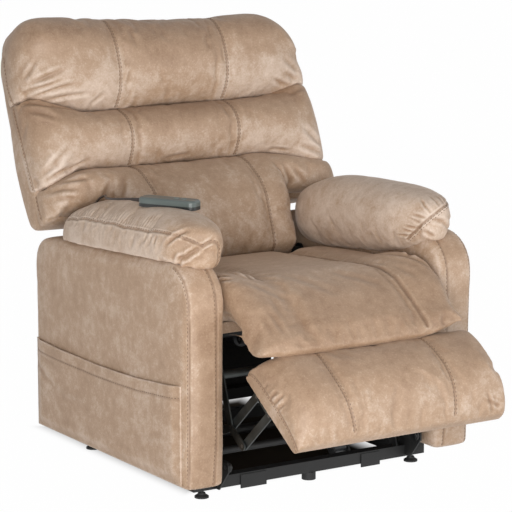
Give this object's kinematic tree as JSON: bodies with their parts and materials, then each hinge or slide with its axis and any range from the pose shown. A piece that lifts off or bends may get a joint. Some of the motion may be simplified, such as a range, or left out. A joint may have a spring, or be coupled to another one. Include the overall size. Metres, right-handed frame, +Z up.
{
  "type": "lift recliner chair",
  "caption": "Powered armchair that lifts and tilts its user to standing, and reclines with a padded footrest on a scissor linkage.",
  "frame": {"origin": "on the floor, at the middle of the chair's footprint as it stands half reclined", "axes": "+Z up, -Y to the front, +X to the chair's own left side"},
  "size_m": [0.876, 1.3264, 1.1039],
  "materials": {
    "suede": "brushed, softly mottled tan suede cloth with twin stitching",
    "black_steel": "satin black powder coat",
    "zinc_steel": "zinc plated, dull grey",
    "bright_pins": "bright zinc",
    "rod_steel": "drawn tube",
    "plywood": "raw plywood",
    "webbing": "woven elastic band",
    "foot_rubber": "matt black",
    "motor_plastic": "textured black housing",
    "handset_grey": "fine textured grey",
    "handset_dark": "fine textured dark grey",
    "button_rubber": "soft grey keys",
    "cord_jacket": "smooth dark jacket"
  },
  "bodies": {
    "base": {"base_front_tube": "black_steel", "base_rear_tube": "black_steel", "base_side_rails": "black_steel", "lift_brackets": "black_steel", "base_pins": "bright_pins", "lift_motor_clevis": "black_steel", "levelling_feet": "foot_rubber", "centre_foot": "foot_rubber"},
    "rear_lift_links": {"rear_lift_links": "black_steel", "lift_torque_tube": "black_steel"},
    "front_lift_links": {"front_lift_links": "black_steel", "front_lift_tube": "black_steel"},
    "lift_motor": {"lift_motor": "motor_plastic"},
    "lift_rod": {"lift_rod": "rod_steel"},
    "chair": {"lift_side_rails": "black_steel", "lift_rear_tube": "black_steel", "lift_posts": "black_steel", "mechanism_plates": "zinc_steel", "actuator_cross_tube": "black_steel", "plate_hangers": "zinc_steel", "frame_pins": "bright_pins", "arm_panel_left": "suede", "arm_panel_right": "suede", "arm_pad_left": "suede", "arm_pad_right": "suede", "side_pocket": "suede", "seat_frame": "plywood", "seat_webbing": "webbing", "seat_cushion": "suede", "recline_motor_clevis": "black_steel", "rear_skirt": "suede", "control_box": "motor_plastic", "handset_upper_shell": "handset_grey", "handset_lower_shell": "handset_dark", "cord_strain_relief": "cord_jacket", "handset_cord": "cord_jacket", "cord_gland": "cord_jacket"},
    "rear_swing_links": {"rear_swing_links": "zinc_steel", "recline_torque_tube": "zinc_steel"},
    "front_swing_links": {"front_swing_links": "zinc_steel"},
    "coupler_links": {"coupler_links": "zinc_steel", "coupler_rivets": "bright_pins"},
    "guide_links": {"guide_links": "zinc_steel", "guide_rivets": "bright_pins"},
    "footrest": {"footrest_board": "plywood", "footrest_pad": "suede", "footrest_brackets": "zinc_steel"},
    "chaise": {"chaise_pad": "suede"},
    "back": {"head_pillow": "suede", "middle_pillow": "suede", "lumbar_pillow": "suede", "back_frame": "plywood", "back_cover": "suede", "back_brackets": "black_steel", "back_hinge_tube": "black_steel", "recline_lever": "black_steel"},
    "recline_motor": {"recline_motor": "motor_plastic"},
    "recline_rod": {"recline_rod": "rod_steel"},
    "raise_button": {"raise_button": "button_rubber"},
    "lower_button": {"lower_button": "button_rubber"}
  },
  "joints": [
    {"name": "lift", "type": "hinge", "parent": "base", "child": "rear_lift_links", "pos_m": [0, -0.21839, 0.083], "axis": [1, 0, 0], "range_deg": [0, 45.6]},
    {"name": "chair_tilt", "type": "hinge", "parent": "rear_lift_links", "child": "chair", "pos_m": [0, 0.29361, 0.068], "axis": [1, 0, 0], "range_deg": [-30.14, 0]},
    {"name": "front_lift_swing", "type": "hinge", "parent": "base", "child": "front_lift_links", "pos_m": [0, -0.29839, 0.088], "axis": [1, 0, 0], "range_deg": [0, 49.1]},
    {"name": "lift_motor_swing", "type": "hinge", "parent": "base", "child": "lift_motor", "pos_m": [0.115, -0.19239, 0.056], "axis": [1, 0, 0], "range_deg": [0, 31.69]},
    {"name": "lift_rod_slide", "type": "slide", "parent": "lift_motor", "child": "lift_rod", "axis": [0, 0.4185, 0.9082], "range_m": [0, 0.2453]},
    {"name": "recline", "type": "hinge", "parent": "chair", "child": "rear_swing_links", "pos_m": [0, -0.18839, 0.387], "axis": [-1, 0, 0], "range_deg": [-57, 35]},
    {"name": "front_swing", "type": "hinge", "parent": "chair", "child": "front_swing_links", "pos_m": [0, -0.24839, 0.412], "axis": [-1, 0, 0], "range_deg": [-57.02, 35.02]},
    {"name": "coupler_pivot", "type": "hinge", "parent": "front_swing_links", "child": "coupler_links", "pos_m": [0, -0.32343, 0.19698], "axis": [-1, 0, 0], "range_deg": [-35.02, 57.02]},
    {"name": "guide_pivot", "type": "hinge", "parent": "front_swing_links", "child": "guide_links", "pos_m": [0, -0.37834, 0.16091], "axis": [-1, 0, 0], "range_deg": [-35.02, 57.02]},
    {"name": "footrest_pivot", "type": "hinge", "parent": "coupler_links", "child": "footrest", "pos_m": [0, -0.43343, 0.29498], "axis": [-1, 0, 0], "range_deg": [-57.02, 35.02]},
    {"name": "chaise_hinge", "type": "hinge", "parent": "chair", "child": "chaise", "pos_m": [0, -0.29339, 0.455], "axis": [-1, 0, 0], "range_deg": [-45.62, 28.02]},
    {"name": "back_hinge", "type": "hinge", "parent": "chair", "child": "back", "pos_m": [0, 0.26652, 0.48016], "axis": [-1, 0, 0], "range_deg": [-15.41, 9.47]},
    {"name": "recline_motor_swing", "type": "hinge", "parent": "chair", "child": "recline_motor", "pos_m": [-0.06, -0.03339, 0.335], "axis": [-1, 0, 0], "range_deg": [-0.3426, 0.5265]},
    {"name": "recline_rod_slide", "type": "slide", "parent": "recline_motor", "child": "recline_rod", "axis": [0, 0.9998, 0.0175], "range_m": [-0.0232, 0.03766]},
    {"name": "raise_button_press", "type": "slide", "parent": "chair", "child": "raise_button", "axis": [0, 0, -1], "range_m": [0, 0.001], "stiffness_N_per_m": 300},
    {"name": "lower_button_press", "type": "slide", "parent": "chair", "child": "lower_button", "axis": [0, 0, -1], "range_m": [0, 0.001], "stiffness_N_per_m": 300}
  ],
  "couplings": [
    {"joint": "chair_tilt", "follows": "lift", "ratio": -0.66058},
    {"joint": "front_lift_swing", "follows": "lift", "ratio": 1.0764},
    {"joint": "lift_motor_swing", "follows": "lift", "ratio": 0.69457},
    {"joint": "lift_rod_slide", "follows": "lift", "m_per_rad": 0.30797},
    {"joint": "front_swing", "follows": "recline", "ratio": 1},
    {"joint": "coupler_pivot", "follows": "recline", "ratio": -1},
    {"joint": "guide_pivot", "follows": "recline", "ratio": -1},
    {"joint": "footrest_pivot", "follows": "recline", "ratio": 1},
    {"joint": "chaise_hinge", "follows": "recline", "ratio": 0.8},
    {"joint": "back_hinge", "follows": "recline", "ratio": 0.27},
    {"joint": "recline_motor_swing", "follows": "recline", "ratio": -0.00836},
    {"joint": "recline_rod_slide", "follows": "recline", "m_per_rad": -0.03765}
  ]
}
